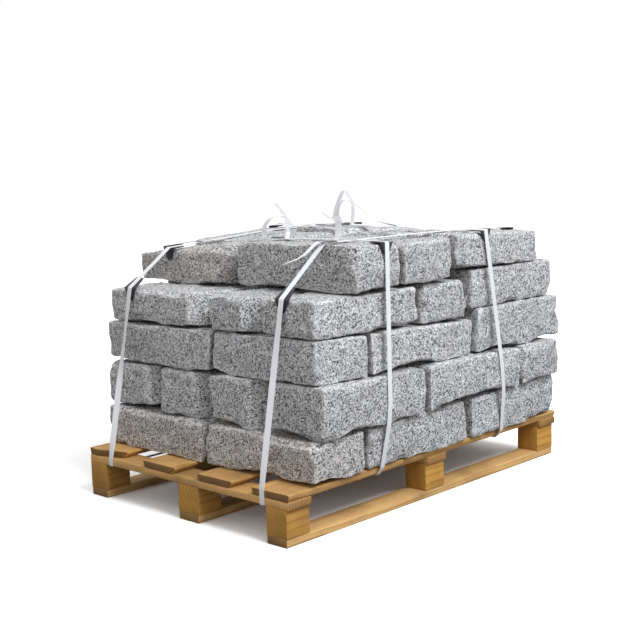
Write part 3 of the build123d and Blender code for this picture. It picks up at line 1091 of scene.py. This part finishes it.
fittingLook = {
    "plastic": (0.022, 0.022, 0.026),
    "plasticRoughness": 0.5,
    "plasticSpecular": 0.4,
    "plasticDirt": {"Size": 30.0, "Low": 0.45, "High": 0.75, "share": 0.12, "color": (0.35, 0.34, 0.32)},
    "plasticGrain": 900.0,
    "plasticBump": 0.3,
    "plasticBumpHeight": 0.2 * mm,
    "legLength": 44 * mm,
    "lowerLegShare": 0.78,
    "tipWidthShare": 0.52,
    "bendZone": 0.1,
    "lowestShare": 1.05,
    "plateRounding": 0.8 * mm,
    "plateSmoothAngle": 40,
    "wireRounding": 0.5 * mm,
    "wireSmoothAngle": 60,
    "wireTones": (0.12, 0.28),
    "wireToneLimits": (0.3, 0.7),
    "wireRoughness": 0.38,
    "wireSpecular": 0.5,
    "wireMetallic": 0.9,
    "spangleScale": 260.0,
}


def makeBlackPlastic():
    roughness, specular = fittingLook["plasticRoughness"], fittingLook["plasticSpecular"]
    material, tree, shader = newMaterial("blackPlastic", roughness, specular)
    place = objectPlace(tree)
    color = addDirt(tree, place, fittingLook["plastic"], fittingLook["plasticDirt"])
    join(tree, color, shader.inputs["Base Color"])
    fine = addTexture(tree, "ShaderNodeTexNoise", place, Scale=fittingLook["plasticGrain"], Detail=2.0)
    addBump(tree, shader, fine.outputs["Fac"], fittingLook["plasticBump"], fittingLook["plasticBumpHeight"])
    return material


def makeWire():
    roughness, specular = fittingLook["wireRoughness"], fittingLook["wireSpecular"]
    material, tree, shader = newMaterial("galvanisedWire", roughness, specular)
    shader.inputs["Metallic"].default_value = fittingLook["wireMetallic"]
    scale = fittingLook["spangleScale"]
    spangle = addTexture(tree, "ShaderNodeTexNoise", objectPlace(tree), Scale=scale, Detail=3.0)
    stops = list(zip(fittingLook["wireToneLimits"], fittingLook["wireTones"]))
    join(tree, rampNode(tree, spangle.outputs["Fac"], stops), shader.inputs["Base Color"])
    return material


def strapSlope(ring, fold, inward):
    # how steeply the strap climbs from a corner of the load towards its middle
    nearest = min(range(len(ring)), key=lambda index: (ring[index] - fold).length)
    neighbours = (ring[nearest - 1], ring[(nearest + 1) % len(ring)])
    following = max(neighbours, key=lambda point: (point - ring[nearest]).dot(inward))
    run = following - ring[nearest]
    return math.atan2(run.z, run.dot(inward))


def shapePlate(plate, ring, along):
    # the lower leg is short and runs to a narrow tip, the upper leg follows the strap
    corners = [vertex.co.copy() for vertex in plate.data.vertices]
    middle = middleOf(plate)
    inward = along if middle.dot(along) < 0 else -along
    top = max(co.z for co in corners)
    edge = min(co.dot(inward) for co in corners)
    fold = middle + inward * (edge - middle.dot(inward))
    fold.z = top
    slope = max(0.0, strapSlope(ring, fold, inward))
    leg = fittingLook["legLength"]
    zone = fittingLook["bendZone"]
    side = inward.cross(zWay)
    for vertex, co in zip(plate.data.vertices, corners):
        depth = (top - co.z) / leg
        inside = (co - fold).dot(inward)
        if depth > zone:
            share = min(depth, fittingLook["lowestShare"])
            vertex.co.z = top - leg * share * fittingLook["lowerLegShare"]
            offset = (co - middle).dot(side)
            vertex.co -= side * (offset * share * (1 - fittingLook["tipWidthShare"]))
        elif inside > zone * leg:
            rise = co.z - top
            vertex.co += inward * (inside * (math.cos(slope) - 1) - rise * math.sin(slope))
            vertex.co.z = top + inside * math.sin(slope) + rise * math.cos(slope)


def roundEdges(obj, width, smoothAngle):
    rounding = obj.modifiers.new("rounding", "BEVEL")
    rounding.width = width
    rounding.segments = 2
    applyModifier(obj, rounding)
    smoothShade(obj, smoothAngle)


def makePlates(strap, ring):
    node = f"edge_protectors_{strap}"
    along = xWay if strap.startswith("lengthwise") else yWay
    for plate in splitLoose(copyNode(node, f"plate_{strap}"), f"plate_{strap}"):
        shapePlate(plate, ring, along)
        roundEdges(plate, fittingLook["plateRounding"], fittingLook["plateSmoothAngle"])
        standFor(plate, node, blackPlastic)


blackPlastic = makeBlackPlastic()
for strap, ring in strapRings.items():
    makePlates(strap, ring)
buckles = copyNode("strap_buckles", "wire_buckles")
roundEdges(buckles, fittingLook["wireRounding"], fittingLook["wireSmoothAngle"])
standFor(buckles, "strap_buckles", makeWire())
print("protectors and buckles finished")


# Floor, light and camera

studio = {
    "skyStrength": 0.79,
    "keyEnergy": 415.0,
    "keyColor": (0.92, 0.955, 1.0),
    "keyPlace": (-0.3, -4.4, 5.2),
    "keyAim": (0, 0, 0.35),
    "keySize": 3.0,
    "floorSize": 60,
    "floorSeen": 1.35,
    "floorBounce": 0.20,
}
white = (1, 1, 1, 1)


def makeFloor():
    # the camera sees a pale floor, while the load gets the light of a darker one from below
    bpy.ops.mesh.primitive_plane_add(size=studio["floorSize"], location=(0, 0, 0))
    floor = bpy.context.active_object
    floor.name = "floor"
    material, tree, shader = newMaterial("paleFloor", 1.0, 0.0)
    tree.nodes.remove(shader)
    seen = addNode(tree, "ShaderNodeBsdfDiffuse")
    bounce = addNode(tree, "ShaderNodeBsdfDiffuse")
    seen.inputs["Color"].default_value = (*[studio["floorSeen"]] * 3, 1)
    bounce.inputs["Color"].default_value = (*[studio["floorBounce"]] * 3, 1)
    path = addNode(tree, "ShaderNodeLightPath")
    mixShaders(tree, path.outputs["Is Camera Ray"], bounce, seen, "Material Output")
    floor.data.materials.append(material)


def makeWorld():
    # a plain white background, and a softer sky that lights the load
    world = bpy.data.worlds.new("studio")
    bpy.context.scene.world = world
    world.use_nodes = True
    tree = world.node_tree
    light = tree.nodes["Background"]
    light.inputs["Color"].default_value = white
    light.inputs["Strength"].default_value = studio["skyStrength"]
    backdrop = addNode(tree, "ShaderNodeBackground", Strength=1.0)
    backdrop.inputs["Color"].default_value = white
    path = addNode(tree, "ShaderNodeLightPath")
    glossy = mathNode(tree, "ADD", path.outputs["Is Camera Ray"], path.outputs["Is Glossy Ray"], clamp=True)
    shown = mathNode(tree, "ADD", glossy, path.outputs["Is Transmission Ray"], clamp=True)
    mixShaders(tree, shown, light, backdrop, "World Output")


def makeKeyLight():
    lamp = bpy.data.lights.new("key", "AREA")
    lamp.energy = studio["keyEnergy"]
    lamp.size = studio["keySize"]
    lamp.color = studio["keyColor"]
    key = bpy.data.objects.new("key", lamp)
    key.location = studio["keyPlace"]
    aim = Vector(studio["keyAim"]) - key.location
    key.rotation_euler = aim.to_track_quat("-Z", "Y").to_euler()
    bpy.context.scene.collection.objects.link(key)


cameraLook = {
    "lens": 73.125,
    "sensor": 36,
    "place": (-2.82036, -2.62551, 1.05935),
    "yaw": 0.81519,
    "pitch": 0.15136,
    "roll": -0.02699,
}


def makeCamera():
    yaw, pitch, roll = cameraLook["yaw"], cameraLook["pitch"], cameraLook["roll"]
    forward = Vector((math.sin(yaw) * math.cos(pitch), math.cos(yaw) * math.cos(pitch), -math.sin(pitch)))
    level = Vector((math.cos(yaw), -math.sin(yaw), 0))
    upright = level.cross(forward)
    right = level * math.cos(roll) + upright * math.sin(roll)
    up = upright * math.cos(roll) - level * math.sin(roll)
    camera = bpy.data.objects.new("camera", bpy.data.cameras.new("camera"))
    camera.data.lens = cameraLook["lens"]
    camera.data.sensor_width = cameraLook["sensor"]
    turned = Matrix((right, up, -forward)).transposed().to_4x4()
    camera.matrix_world = Matrix.Translation(cameraLook["place"]) @ turned
    bpy.context.scene.collection.objects.link(camera)
    bpy.context.scene.camera = camera


makeFloor()
makeWorld()
makeKeyLight()
makeCamera()
bpy.context.scene.view_settings.view_transform = "Standard"
print("studio set up")
